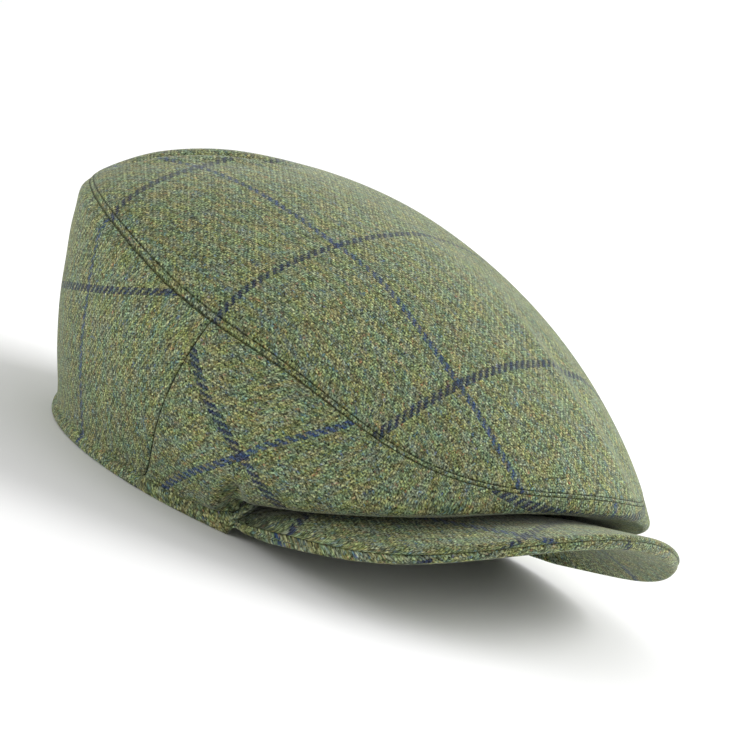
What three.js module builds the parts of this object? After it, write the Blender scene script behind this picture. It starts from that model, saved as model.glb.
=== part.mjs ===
// A flat cap: an oval top panel, a front and a back side panel that meet at a seam on each side,
// a turned hem round the rim and a two-layer peak. Millimetres, +Z up. The front of the cap
// points to -Y, the wearer's right is at -X and the cap rests on its hem at z = 0.
import * as THREE from 'three';
import { mergeVertices } from 'three/addons/utils/BufferGeometryUtils.js';

const rad = THREE.MathUtils.degToRad;

// The opening for the head, measured outside the cloth.
const RIM_LENGTH = 196;
const RIM_WIDTH = 170;
const CLOTH = 2;
const GAP = 0.3;

// The hem is the cloth turned up once, so it is a little thicker than one layer.
const HEM_HEIGHT = 4.2;
const HEM_THICKNESS = 2.4;
const HEM_ROUND = 0.6;

// Between the temples the rim leaves the ground plane and arches over the peak.
const TEMPLE = rad(58.5);
const ARCH_HEIGHT = 31.5;
const ARCH_POWER = 0.68;
const SEAT_BLEND = rad(12);

// The seam between the side panels leans forward from the rim to the top panel.
const SIDE_SEAM_AT_RIM = rad(83.5);
const SIDE_SEAM_AT_TOP = rad(75);

// The peak: how far it reaches out from the rim, how square its outline is, how far its ends
// flare outwards (radians), how high its tip stands and how far its sides hang.
const PEAK_DEPTH = 47.5;
const PEAK_END_DEPTH = 1;
const PEAK_SQUARENESS = 5.9;
const PEAK_CORNER = 1.45;
const PEAK_FLARE = 0.44;
const PEAK_TIP_HEIGHT = 43.5;
const PEAK_SIDE_DROP = 4.5;
const PEAK_LAYER = 2.1;
const PEAK_THICKNESS = 2 * PEAK_LAYER + GAP;
const PEAK_LEAST_UPRIGHT = 0.72;

// The crown's side, a row for each angle from the front. Each section runs from the rim to the
// top seam as one cubic curve. The seam's reach from the middle and its height end the curve, and
// the low and high pull points between them fill it out.
const CROWN = [
  { angle: 0, lowReach: 131, lowZ: 48.5, highReach: 130, highZ: 44, seamReach: 128, seamZ: 53 },
  { angle: 22.5, lowReach: 122.5, lowZ: 38.5, highReach: 129, highZ: 36.5, seamReach: 121.5, seamZ: 48.5 },
  { angle: 45, lowReach: 106, lowZ: 19.5, highReach: 120, highZ: 18.5, seamReach: 106.5, seamZ: 55 },
  { angle: 67.5, lowReach: 89, lowZ: 8.5, highReach: 113.5, highZ: 23, seamReach: 98.5, seamZ: 63.5 },
  { angle: 90, lowReach: 84.5, lowZ: 9, highReach: 109, highZ: 37.5, seamReach: 96.5, seamZ: 70 },
  { angle: 112.5, lowReach: 85, lowZ: 11, highReach: 106, highZ: 48, seamReach: 99, seamZ: 78 },
  { angle: 135, lowReach: 89.5, lowZ: 14, highReach: 112, highZ: 55, seamReach: 104.5, seamZ: 82.5 },
  { angle: 157.5, lowReach: 94.5, lowZ: 17, highReach: 114.5, highZ: 60, seamReach: 109, seamZ: 84 },
  { angle: 180, lowReach: 98, lowZ: 18.5, highReach: 114.5, highZ: 63, seamReach: 111, seamZ: 87 },
];

// The top panel bulges up from its seam: the bulge's height and how blunt it is.
const DOME_HEIGHT = 39.2;
const DOME_POWER = 0.77;
const DOME_POWER_OVAL = 0.15;

// A shallow valley runs along the middle of the top panel and deepens towards the back.
const VALLEY_DEPTH = 4;
const VALLEY_WIDTH = 20;
const VALLEY_START = 48;
const VALLEY_END = 100;
const VALLEY_FADE_POWER = 8;

// How finely each skin is divided.
const COLUMNS_OVER_PEAK = 26;
const COLUMNS_TEMPLE_TO_SEAM = 4;
const COLUMNS_BACK = 40;
const ROWS_FRONT = 11;
const ROWS_BACK = 9;
const RINGS_TOP = 12;
const ROWS_PEAK = 6;

const COLOURS = {
  top: 0x787f5f,
  side: 0x747b5c,
  hem: 0x6e7558,
  peak: 0x737a5b,
  under: 0x80836f,
};

const TURN = 2 * Math.PI;
const STEP = 1e-4;
const NEAR_EDGE = 0.97;
const WELD = 1e-3;

// Brings the greatest value of x (1 - x)^2 to one.
const SAG_TO_ONE = 27 / 4;

// Each panel stops a little short of its seam, and the side panels' ends leave a slit.
const SEAM_INSET = GAP * 0.6;
const HALF_SLIT = GAP / RIM_WIDTH;

// Turns one column of the crown table into the terms of an even cosine series in the angle.
function cosineSeries(column) {
  const last = CROWN.length - 1;
  return CROWN.map((_, term) => {
    const end = term === 0 || term === last ? 0.5 : 1;
    let sum = 0;
    CROWN.forEach((row, i) => {
      const weight = i === 0 || i === last ? 0.5 : 1;
      sum += weight * row[column] * Math.cos(term * rad(row.angle));
    });
    return (end * 2 * sum) / last;
  });
}

const SERIES = {};
for (const column of Object.keys(CROWN[0]).filter((name) => name !== 'angle')) {
  SERIES[column] = cosineSeries(column);
}

// The series at an angle. Inside the ring, at share < 1 of its reach, it is the smoothest
// surface that the ring can carry.
function seriesAt(column, angle, share = 1) {
  return SERIES[column].reduce((sum, value, term) => {
    return sum + value * share ** term * Math.cos(term * angle);
  }, 0);
}

// Angles run from the front, positive towards the wearer's right.
function polar(reach, angle, z) {
  return new THREE.Vector3(-reach * Math.sin(angle), -reach * Math.cos(angle), z);
}

function rimReach(angle) {
  const halfLength = RIM_LENGTH / 2;
  const halfWidth = RIM_WIDTH / 2;
  return (halfLength * halfWidth) / Math.hypot(halfWidth * Math.cos(angle), halfLength * Math.sin(angle));
}

function rimHeight(angle) {
  const share = (Math.cos(angle) - Math.cos(TEMPLE)) / (1 - Math.cos(TEMPLE));
  return ARCH_HEIGHT * Math.max(share, 0) ** ARCH_POWER;
}

function rimPoint(angle, inset = 0) {
  return polar(rimReach(angle) - inset, angle, rimHeight(angle));
}

// The peak's outer edge: across runs from -1 at one temple to 1 at the other.
function peakEdge(across) {
  const shrink = (1 - Math.abs(across) ** PEAK_SQUARENESS) ** PEAK_CORNER;
  const depth = PEAK_END_DEPTH + (PEAK_DEPTH - PEAK_END_DEPTH) * shrink;
  const lean = PEAK_FLARE * across;
  const edge = rimPoint(across * TEMPLE);
  edge.x -= depth * Math.sin(lean);
  edge.y -= depth * Math.cos(lean);
  const inner = 1 - across ** 2;
  const sag = SAG_TO_ONE * across ** 2 * inner ** 2;
  edge.z = PEAK_TIP_HEIGHT * inner - PEAK_SIDE_DROP * sag;
  return edge;
}

// The peak's lower face, from its sewn edge inside the rim (along = -1) over the rim (0) to the
// outer edge (1).
function peakFace(along, across) {
  const rim = rimPoint(across * TEMPLE);
  if (along < 0) {
    return rimPoint(across * TEMPLE, -along * HEM_THICKNESS);
  }
  return rim.lerp(peakEdge(across), along);
}

function unitNormal(surface, u, v, sign = 1) {
  const alongU = surface(u + STEP, v).sub(surface(u - STEP, v));
  const alongV = surface(u, v + STEP).sub(surface(u, v - STEP));
  return alongU.cross(alongV).normalize().multiplyScalar(sign);
}

// How far the peak's upper face stands straight above its lower face, so that the layers keep
// their thickness where the peak slopes.
function peakRise(thickness, along, across) {
  const held = THREE.MathUtils.clamp(across, -NEAR_EDGE, NEAR_EDGE);
  const upright = Math.abs(unitNormal(peakFace, Math.max(along, STEP * 2), held).z);
  return thickness / Math.max(upright, PEAK_LEAST_UPRIGHT);
}

// What the side panels sit on: the hem round the back and the peak between the temples.
function seatHeight(angle) {
  const turn = Math.abs(Math.atan2(Math.sin(angle), Math.cos(angle)));
  const overPeak = peakRise(PEAK_THICKNESS, 0, Math.min(turn / TEMPLE, 1));
  const blend = THREE.MathUtils.clamp((turn - TEMPLE) / SEAT_BLEND, 0, 1);
  return THREE.MathUtils.lerp(overPeak, HEM_HEIGHT, blend);
}

function crownPoint(name, angle) {
  return polar(seriesAt(`${name}Reach`, angle), angle, seriesAt(`${name}Z`, angle));
}

// The side of the crown: up is 0 at the foot, on the hem or the peak, and 1 at the top seam.
function crownSide(up, angle) {
  const foot = rimPoint(angle);
  foot.z += seatHeight(angle) + GAP;
  const section = new THREE.CubicBezierCurve3(
    foot,
    crownPoint('low', angle),
    crownPoint('high', angle),
    crownPoint('seam', angle),
  );
  return section.getPoint(up);
}

// The top panel: share is 0 at its middle and 1 at the seam.
function crownTop(share, angle) {
  const power = DOME_POWER + DOME_POWER_OVAL * share ** 2 * Math.cos(2 * angle);
  const bulge = DOME_HEIGHT * Math.max(1 - share ** 2, 0) ** power;
  const point = polar(share * seriesAt('seamReach', angle), angle, seriesAt('seamZ', angle, share) + bulge);
  const across = Math.exp(-((point.x / VALLEY_WIDTH) ** 2));
  const along = THREE.MathUtils.smoothstep(point.y, VALLEY_START, VALLEY_END);
  point.z -= VALLEY_DEPTH * across * along * (1 - share ** VALLEY_FADE_POWER);
  return point;
}

// The inward direction in which the top panel and the side meet at their seam.
function seamMitre(angle) {
  const side = unitNormal(crownSide, 1 - 2 * STEP, angle);
  const top = unitNormal(crownTop, NEAR_EDGE, angle, -1);
  const inward = side.clone().add(top).normalize().negate();
  return inward.multiplyScalar(CLOTH / Math.abs(inward.dot(side)));
}

function spread(from, to, count) {
  return Array.from({ length: count + 1 }, (_, i) => THREE.MathUtils.lerp(from, to, i / count));
}

// Where the side panels' columns stand, as shares of the angle from the front to the side seam.
const TEMPLE_SHARE = TEMPLE / SIDE_SEAM_AT_RIM;
const FRONT_SHARES = [
  ...spread(-1, -TEMPLE_SHARE, COLUMNS_TEMPLE_TO_SEAM),
  ...spread(-TEMPLE_SHARE, TEMPLE_SHARE, COLUMNS_OVER_PEAK).slice(1, -1),
  ...spread(TEMPLE_SHARE, 1, COLUMNS_TEMPLE_TO_SEAM),
];
const BACK_SHARES = spread(0, 1, COLUMNS_BACK);

function sideSeamAngle(up) {
  return THREE.MathUtils.lerp(SIDE_SEAM_AT_RIM, SIDE_SEAM_AT_TOP, up);
}

function frontAngle(share, up) {
  return share * sideSeamAngle(up);
}

function backAngle(share, up) {
  return THREE.MathUtils.lerp(sideSeamAngle(up), TURN - sideSeamAngle(up), share);
}

// Joins an outer and an inner grid of points into one closed body. The grids are lists of rows.
// A ring has columns that close on themselves and rows that start at one middle point.
function clothBody(outer, inner, isRing) {
  const corners = [];
  const rows = outer.length;
  const columns = outer[0].length;
  const quad = (a, b, c, d) => corners.push(a, b, c, a, c, d);
  const spans = isRing ? columns : columns - 1;
  for (let i = 0; i < spans; i += 1) {
    const next = (i + 1) % columns;
    for (let row = 0; row < rows - 1; row += 1) {
      quad(outer[row][i], outer[row][next], outer[row + 1][next], outer[row + 1][i]);
      quad(inner[row][next], inner[row][i], inner[row + 1][i], inner[row + 1][next]);
    }
    quad(outer[rows - 1][i], outer[rows - 1][next], inner[rows - 1][next], inner[rows - 1][i]);
    if (!isRing) {
      quad(outer[0][next], outer[0][i], inner[0][i], inner[0][next]);
    }
  }
  if (!isRing) {
    const end = columns - 1;
    for (let row = 0; row < rows - 1; row += 1) {
      quad(outer[row + 1][0], inner[row + 1][0], inner[row][0], outer[row][0]);
      quad(outer[row][end], inner[row][end], inner[row + 1][end], outer[row + 1][end]);
    }
  }
  return mergedGeometry(corners);
}

// Moves a panel's outer and inner edge points away from the seam, along the panel.
function pullIn(edge, back, inside) {
  const step = inside.sub(edge).setLength(SEAM_INSET);
  edge.add(step);
  back.add(step);
}

// Shares equal corners, drops triangles that have closed up and turns the faces outwards.
function mergedGeometry(corners) {
  const loose = new THREE.BufferGeometry().setFromPoints(corners);
  const merged = mergeVertices(loose, WELD);
  const index = Array.from(merged.index.array);
  const position = merged.attributes.position;
  const corner = [new THREE.Vector3(), new THREE.Vector3(), new THREE.Vector3()];
  const kept = [];
  let volume = 0;
  for (let i = 0; i < index.length; i += 3) {
    const face = index.slice(i, i + 3);
    if (new Set(face).size === 3) {
      kept.push(face);
      face.forEach((vertex, k) => corner[k].fromBufferAttribute(position, vertex));
      volume += corner[0].dot(corner[1].clone().cross(corner[2]));
    }
  }
  merged.setIndex(kept.map((face) => (volume < 0 ? face.reverse() : face)).flat());
  merged.computeVertexNormals();
  return merged;
}

// A side panel: columns at the given shares of its angles, from the foot to the top seam.
function sidePanel(shares, rows, angleAt) {
  const outer = [];
  const inner = [];
  for (const up of spread(0, 1, rows)) {
    const angles = shares.map((share) => angleAt(share, up));
    angles[0] += HALF_SLIT;
    angles[angles.length - 1] -= HALF_SLIT;
    const outerRow = angles.map((angle) => crownSide(up, angle));
    const innerRow = angles.map((angle, i) => {
      const point = outerRow[i];
      if (up === 1) {
        const back = point.clone().add(seamMitre(angle));
        pullIn(point, back, crownSide(NEAR_EDGE, angle));
        return back;
      }
      const back = point.clone().addScaledVector(unitNormal(crownSide, up, angle), -CLOTH);
      if (up === 0) {
        back.z = Math.max(back.z, point.z);
      }
      return back;
    });
    outer.push(outerRow);
    inner.push(innerRow);
  }
  return clothBody(outer, inner, false);
}

function topPanel() {
  const angles = [
    ...FRONT_SHARES.map((share) => frontAngle(share, 1)),
    ...BACK_SHARES.slice(1, -1).map((share) => backAngle(share, 1)),
  ];
  const outer = [];
  const inner = [];
  for (let ring = 0; ring <= RINGS_TOP; ring += 1) {
    const share = Math.sin((ring / RINGS_TOP) * (Math.PI / 2));
    const outerRow = angles.map((angle) => crownTop(share, angle));
    const innerRow = angles.map((angle, i) => {
      const point = outerRow[i];
      if (ring === 0) {
        return point.clone().setZ(point.z - CLOTH);
      }
      if (ring === RINGS_TOP) {
        const back = point.clone().add(seamMitre(angle));
        pullIn(point, back, crownTop(NEAR_EDGE, angle));
        return back;
      }
      return point.clone().addScaledVector(unitNormal(crownTop, share, angle), CLOTH);
    });
    outer.push(outerRow);
    inner.push(innerRow);
  }
  return clothBody(outer, inner, true);
}

// The hem stands on its flat lower face from temple to temple round the back.
function rimHem() {
  const clearance = GAP / rimReach(TEMPLE);
  const from = TEMPLE + clearance;
  const angles = [
    ...spread(from, SIDE_SEAM_AT_RIM, COLUMNS_TEMPLE_TO_SEAM),
    ...spread(SIDE_SEAM_AT_RIM, TURN - SIDE_SEAM_AT_RIM, COLUMNS_BACK).slice(1, -1),
    ...spread(TURN - SIDE_SEAM_AT_RIM, TURN - from, COLUMNS_TEMPLE_TO_SEAM),
  ];
  const levels = [
    { share: 0, inset: HEM_ROUND, lift: 0 },
    { share: 0, inset: 0, lift: HEM_ROUND },
    { share: 1, inset: 0, lift: 0 },
  ];
  const rowAt = (level, depth) => angles.map((angle) => {
    const z = level.share * seatHeight(angle) + level.lift;
    return polar(rimReach(angle) - depth, angle, z);
  });
  const outer = levels.map((level) => rowAt(level, level.inset));
  const inner = levels.map((level) => rowAt(level, HEM_THICKNESS - level.inset));
  return clothBody(outer, inner, false);
}

// One layer of the peak, between two heights above the peak's lower face. The outer edge is
// bevelled on the side that shows.
function peakLayer(bottom, top, bevelTop) {
  const acrossStops = spread(-1, 1, COLUMNS_OVER_PEAK);
  const alongStops = [-1, ...spread(0, 1, ROWS_PEAK)];
  const face = (height, isBevelled) => alongStops.map((along) => acrossStops.map((across) => {
    const isEdge = along === 1;
    const point = peakFace(along, across);
    const rise = peakRise(1, along, across);
    const share = isEdge && isBevelled ? 0.5 : 0;
    point.z += rise * THREE.MathUtils.lerp(height, (bottom + top) / 2, share);
    return point;
  }));
  return clothBody(face(top, bevelTop), face(bottom, !bevelTop), false);
}

function addPiece(group, name, geometry, color) {
  const material = new THREE.MeshStandardMaterial({ color, roughness: 0.95, metalness: 0 });
  const mesh = new THREE.Mesh(geometry, material);
  mesh.name = name;
  group.add(mesh);
}

const cap = new THREE.Group();
addPiece(cap, 'top_panel', topPanel(), COLOURS.top);
addPiece(cap, 'front_side_panel', sidePanel(FRONT_SHARES, ROWS_FRONT, frontAngle), COLOURS.side);
addPiece(cap, 'back_side_panel', sidePanel(BACK_SHARES, ROWS_BACK, backAngle), COLOURS.side);
addPiece(cap, 'rim_hem', rimHem(), COLOURS.hem);
addPiece(cap, 'peak_top', peakLayer(PEAK_LAYER + GAP, PEAK_THICKNESS, true), COLOURS.peak);
addPiece(cap, 'peak_under', peakLayer(0, PEAK_LAYER, false), COLOURS.under);

// The origin lies under the middle of the whole cap.
const bounds = new THREE.Box3().setFromObject(cap);
cap.position.y = -(bounds.min.y + bounds.max.y) / 2;

export default cap;
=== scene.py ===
"""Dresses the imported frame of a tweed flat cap: its cloth panels, its hem and its peak.

A form is worked out in millimetres in the cap's own frame and then moved to the row frame in
metres. In both, the front of the cap points to -Y, the wearer's right is at -X and angles run
from the front towards the wearer's right. Only the studio's floor and lights are in metres.
"""

import logging
import math
from dataclasses import dataclass
from enum import Enum
from typing import Callable, Sequence, Union

import bpy
import numpy as np
from mathutils import Matrix, Vector


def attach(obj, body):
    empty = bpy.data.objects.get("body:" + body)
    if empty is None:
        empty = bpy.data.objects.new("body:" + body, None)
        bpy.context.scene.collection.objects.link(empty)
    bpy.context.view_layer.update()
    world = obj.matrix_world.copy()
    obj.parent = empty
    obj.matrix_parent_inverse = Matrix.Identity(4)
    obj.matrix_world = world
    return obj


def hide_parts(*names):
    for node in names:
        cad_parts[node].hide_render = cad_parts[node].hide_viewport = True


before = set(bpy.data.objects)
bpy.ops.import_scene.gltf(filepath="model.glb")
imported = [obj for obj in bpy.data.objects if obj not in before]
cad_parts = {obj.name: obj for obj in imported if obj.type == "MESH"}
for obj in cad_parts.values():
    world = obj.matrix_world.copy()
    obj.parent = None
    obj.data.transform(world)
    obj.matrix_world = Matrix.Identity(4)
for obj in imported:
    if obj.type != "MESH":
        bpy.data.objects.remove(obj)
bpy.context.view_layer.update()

Array = np.ndarray
Value = Union["Socket", float]
Setting = Union[str, float, int, bool, Sequence[tuple]]
Colour = tuple[float, float, float]
Place = tuple[float, float, float]
Pair = tuple[float, float]
Window = tuple[float, float, float, float]
log = logging.getLogger("cap")

MM = 0.001
PER_METRE = 1000.0
STEP = 1e-4
TINY = 1e-9
NOISE_ROUGHNESS = 0.55
CORE = np.array([0.0, 0.0, 40.0])


def lerp(start: Array, end: Array, share: Array) -> Array:
    """Returns the point at a share of the way from start to end."""
    return start + (end - start) * share


def smoothstep(value: Array, start: float, end: float) -> Array:
    """Returns 0 before start, 1 after end and a smooth rise between them."""
    share = np.clip((value - start) / (end - start), 0.0, 1.0)
    return share * share * (3.0 - 2.0 * share)


def fade(value: Array, start: float, end: float) -> Array:
    """Returns 1 before start, 0 after end and a smooth fall between them."""
    return 1 - smoothstep(value, start, end)


def window(value: Array, start: float, full: float, ebb: float, end: float) -> Array:
    """Returns a smooth rise from 0 to 1, and a smooth fall back to 0 further on."""
    return smoothstep(value, start, full) * fade(value, ebb, end)


def bell(value: Array, width: float) -> Array:
    """Returns 1 at zero, falling off smoothly over the given width."""
    return np.exp(-((value / width) ** 2))


def polar(reach: Array, angle: Array, z: Array) -> Array:
    """Returns points at a reach from the cap's middle, an angle from the front and a height."""
    reach, angle, z = np.broadcast_arrays(reach, angle, z)
    return np.stack([-reach * np.sin(angle), -reach * np.cos(angle), z], axis=-1)


def unit(vectors: Array) -> Array:
    """Returns the vectors at a length of one."""
    return vectors / np.linalg.norm(vectors, axis=-1, keepdims=True)


def turned(angle: Array) -> Array:
    """Returns an angle brought between -pi and pi."""
    return np.arctan2(np.sin(angle), np.cos(angle))


@dataclass(frozen=True)
class Swell:
    """A soft rise in the cloth, or a hollow where its height is below zero."""

    height: float
    place: float
    width: float

    def at(self, value: Array) -> Array:
        """Returns how far the cloth stands off at a value."""
        return self.height * bell(value - self.place, self.width)


def swollen(swells: Sequence[Swell], value: Array) -> Array:
    """Returns how far the cloth stands off at a value with several swells together."""
    return sum(swell.at(value) for swell in swells)


@dataclass(frozen=True)
class Ripple:
    """A slight wave in slack cloth, round the cap and up its side."""

    height: float
    around: float
    start: float
    upward: float

    def at(self, up: Array, angle: Array) -> Array:
        """Returns how far the cloth stands off at a place of the side."""
        round_cap = np.sin(self.around * angle + self.start)
        return self.height * round_cap * np.sin(self.upward * math.pi * up)


@dataclass(frozen=True)
class Ditch:
    """A seam's groove: how deep it is, how narrow, and how the cloth rounds over into it."""

    depth: float = 0.34
    width: float = 0.24
    roll: float = 0.16
    roll_width: float = 1.4

    def fall(self, distance: Array) -> Array:
        """Returns how far the cloth has fallen at a distance from the seam."""
        groove = self.depth * bell(distance, self.width)
        return groove + self.roll * bell(distance, self.roll_width)


@dataclass(frozen=True)
class Section:
    """One section of the crown's side: the pull points of its cubic curve, and its seam."""

    angle: float
    low_reach: float
    low_z: float
    high_reach: float
    high_z: float
    seam_reach: float
    seam_z: float


SECTIONS = (
    Section(0.0, 131.0, 48.5, 130.0, 44.0, 128.0, 53.0),
    Section(22.5, 122.5, 38.5, 129.0, 36.5, 121.5, 48.5),
    Section(45.0, 106.0, 19.5, 120.0, 18.5, 106.5, 55.0),
    Section(67.5, 89.0, 8.5, 113.5, 23.0, 98.5, 63.5),
    Section(90.0, 84.5, 9.0, 109.0, 37.5, 96.5, 70.0),
    Section(112.5, 85.0, 11.0, 106.0, 48.0, 99.0, 78.0),
    Section(135.0, 89.5, 14.0, 112.0, 55.0, 104.5, 82.5),
    Section(157.5, 94.5, 17.0, 114.5, 60.0, 109.0, 84.0),
    Section(180.0, 98.0, 18.5, 114.5, 63.0, 111.0, 87.0),
)


@dataclass
class CapForm:
    """The cap's surfaces, as the cutter's blocks give them before any seam is sewn."""

    rim_length: float = 196.0
    rim_width: float = 170.0
    gap: float = 0.3
    hem_height: float = 4.2
    hem_thickness: float = 2.4
    temple: float = math.radians(58.5)
    arch_height: float = 31.5
    arch_power: float = 0.68
    seat_blend: float = math.radians(12.0)
    seam_at_rim: float = math.radians(83.5)
    seam_at_top: float = math.radians(75.0)
    peak_depth: float = 47.5
    peak_end_depth: float = 1.0
    peak_squareness: float = 5.9
    peak_corner: float = 1.45
    peak_flare: float = 0.44
    peak_tip_height: float = 43.5
    peak_side_drop: float = 4.5
    peak_thickness: float = 4.5
    peak_tail: float = 6.0
    peak_ends: float = 0.97
    least_upright: float = 0.72
    dome_height: float = 39.2
    dome_power: float = 0.77
    dome_oval: float = 0.15
    valley_depth: float = 4.0
    valley_width: float = 20.0
    valley_start: float = 48.0
    valley_end: float = 100.0
    valley_hold: int = 8
    by_seam: float = 0.97
    shift: float = 17.012

    def __post_init__(self) -> None:
        """Turns each column of the sections into an even cosine series in the angle."""
        terms = np.arange(len(SECTIONS))
        angles = np.radians([section.angle for section in SECTIONS])
        solve = np.linalg.inv(np.cos(np.outer(angles, terms)))
        names = [name for name in Section.__dataclass_fields__ if name != "angle"]
        self.terms = terms
        self.series = {
            name: solve @ np.array([getattr(section, name) for section in SECTIONS])
            for name in names
        }

    def at(self, name: str, angle: Array, share: Union[Array, float] = 1.0) -> Array:
        """Reads a column of the sections.

        Args:
            name: the column.
            angle: the angles to read it at.
            share: 1 on the ring itself, less inside it.

        Returns:
            The column's value at each angle.
        """
        angle, share = np.broadcast_arrays(np.asarray(angle, float), share)
        waves = np.cos(angle[..., None] * self.terms) * share[..., None] ** self.terms
        return waves @ self.series[name]

    def rim(self, angle: Array, inset: Array = 0.0) -> Array:
        """Finds points of the rim, which arches over the peak between the temples.

        Args:
            angle: the points' angles.
            inset: how far inside the rim they lie.

        Returns:
            The points.
        """
        a, b = self.rim_length / 2, self.rim_width / 2
        reach = a * b / np.hypot(b * np.cos(angle), a * np.sin(angle))
        low = math.cos(self.temple)
        share = np.maximum((np.cos(angle) - low) / (1 - low), 0.0)
        return polar(reach - inset, angle, self.arch_height * share**self.arch_power)

    def peak_edge(self, across: Array) -> Array:
        """Finds points of the peak's outer edge.

        Args:
            across: the place along the edge, from -1 at one temple to 1 at the other.

        Returns:
            The points.
        """
        shrink = np.maximum(1 - np.abs(across) ** self.peak_squareness, 0.0)
        depth = lerp(self.peak_end_depth, self.peak_depth, shrink**self.peak_corner)
        lean = self.peak_flare * across
        edge = self.rim(across * self.temple)
        inner = 1 - across**2
        # The factor 27 / 4 brings the sag's highest value, between middle and end, to 1.
        sag = 27 / 4 * across**2 * inner**2
        edge[..., 0] -= depth * np.sin(lean)
        edge[..., 1] -= depth * np.cos(lean)
        edge[..., 2] = self.peak_tip_height * inner - self.peak_side_drop * sag
        return edge

    def peak_face(self, along: Array, across: Array) -> Array:
        """Finds points of the peak's lower face.

        Args:
            along: 0 at the rim and 1 at the outer edge, or less than 0 for the hidden tail.
            across: the place between the temples, from -1 to 1.

        Returns:
            The points.
        """
        along = np.asarray(along, float)
        inset = np.maximum(-along, 0.0) * self.peak_tail
        rim = self.rim(across * self.temple, inset)
        return lerp(rim, self.peak_edge(across), np.maximum(along, 0.0)[..., None])

    def normal(self, surface: Callable[[Array, Array], Array], u: Array, v: Array) -> Array:
        """Finds a surface's unit normals.

        Args:
            surface: gives points of the surface from two places on it.
            u: the points' places in its first direction.
            v: their places in its second.

        Returns:
            The normals, along the first direction crossed with the second.
        """
        along_u = surface(u + STEP, v) - surface(u - STEP, v)
        along_v = surface(u, v + STEP) - surface(u, v - STEP)
        return unit(np.cross(along_u, along_v))

    def peak_rise(self, along: Array, across: Array) -> Array:
        """Finds how far one millimetre of the peak's thickness stands straight up.

        Args:
            along: 0 at the rim and 1 at the outer edge.
            across: the place between the temples, from -1 to 1.

        Returns:
            The height for each millimetre of thickness.
        """
        held = np.clip(across, -self.peak_ends, self.peak_ends)
        along = np.maximum(along, 2 * STEP)
        upright = np.abs(self.normal(self.peak_face, along, held)[..., 2])
        return 1.0 / np.maximum(upright, self.least_upright)

    def seat(self, angle: Array) -> Array:
        """Finds what the side panels sit on: the peak in front, and the hem round the back.

        Args:
            angle: the angles to find it at.

        Returns:
            Its height above the rim.
        """
        turn = np.abs(turned(angle))
        over_peak = self.peak_thickness * self.peak_rise(
            np.zeros_like(turn), np.minimum(turn / self.temple, 1.0)
        )
        blend = np.clip((turn - self.temple) / self.seat_blend, 0.0, 1.0)
        return lerp(over_peak, self.hem_height, blend)

    def side(self, up: Array, angle: Array) -> Array:
        """Finds points of the crown's side.

        Args:
            up: the way up the section, from its foot at 0 to the top seam at 1.
            angle: the points' angles.

        Returns:
            The points.
        """
        foot = self.rim(angle)
        foot[..., 2] += self.seat(angle) + self.gap
        low, high, seam = (
            polar(self.at(f"{name}_reach", angle), angle, self.at(f"{name}_z", angle))
            for name in ("low", "high", "seam")
        )
        t = np.asarray(up, float)[..., None]
        s = 1 - t
        return s**3 * foot + 3 * s * s * t * low + 3 * s * t * t * high + t**3 * seam

    def top(self, share: Array, angle: Array) -> Array:
        """Finds points of the top of the crown.

        Args:
            share: the way out, from the middle at 0 to the seam at 1.
            angle: the points' angles.

        Returns:
            The points.
        """
        power = self.dome_power + self.dome_oval * share**2 * np.cos(2 * angle)
        bulge = self.dome_height * np.maximum(1 - share**2, 0.0) ** power
        reach = share * self.at("seam_reach", angle)
        point = polar(reach, angle, self.at("seam_z", angle, share) + bulge)
        across = bell(point[..., 0], self.valley_width)
        along = smoothstep(point[..., 1], self.valley_start, self.valley_end)
        point[..., 2] -= self.valley_depth * across * along * (1 - share**self.valley_hold)
        return point

    def mitre(self, angle: Array) -> Array:
        """Finds the inward direction between the top and the side at their seam.

        Args:
            angle: the angles to find it at.

        Returns:
            The direction at each angle, at a length of one.
        """
        near = np.full_like(angle, self.by_seam)
        side = self.normal(self.side, near, angle)
        top = -self.normal(self.top, near, angle)
        return -unit(side + top)

    def side_seam(self, up: Array) -> Array:
        """Returns the angle of the seam between the side panels."""
        return lerp(self.seam_at_rim, self.seam_at_top, up)

    def in_frame(self, points: Array) -> Array:
        """Returns points in metres in the row frame."""
        return (points + np.array([0.0, self.shift, 0.0])) * MM


class Side(Enum):
    """The two panels of the crown's side."""

    FRONT = "front"
    BACK = "back"


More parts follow.
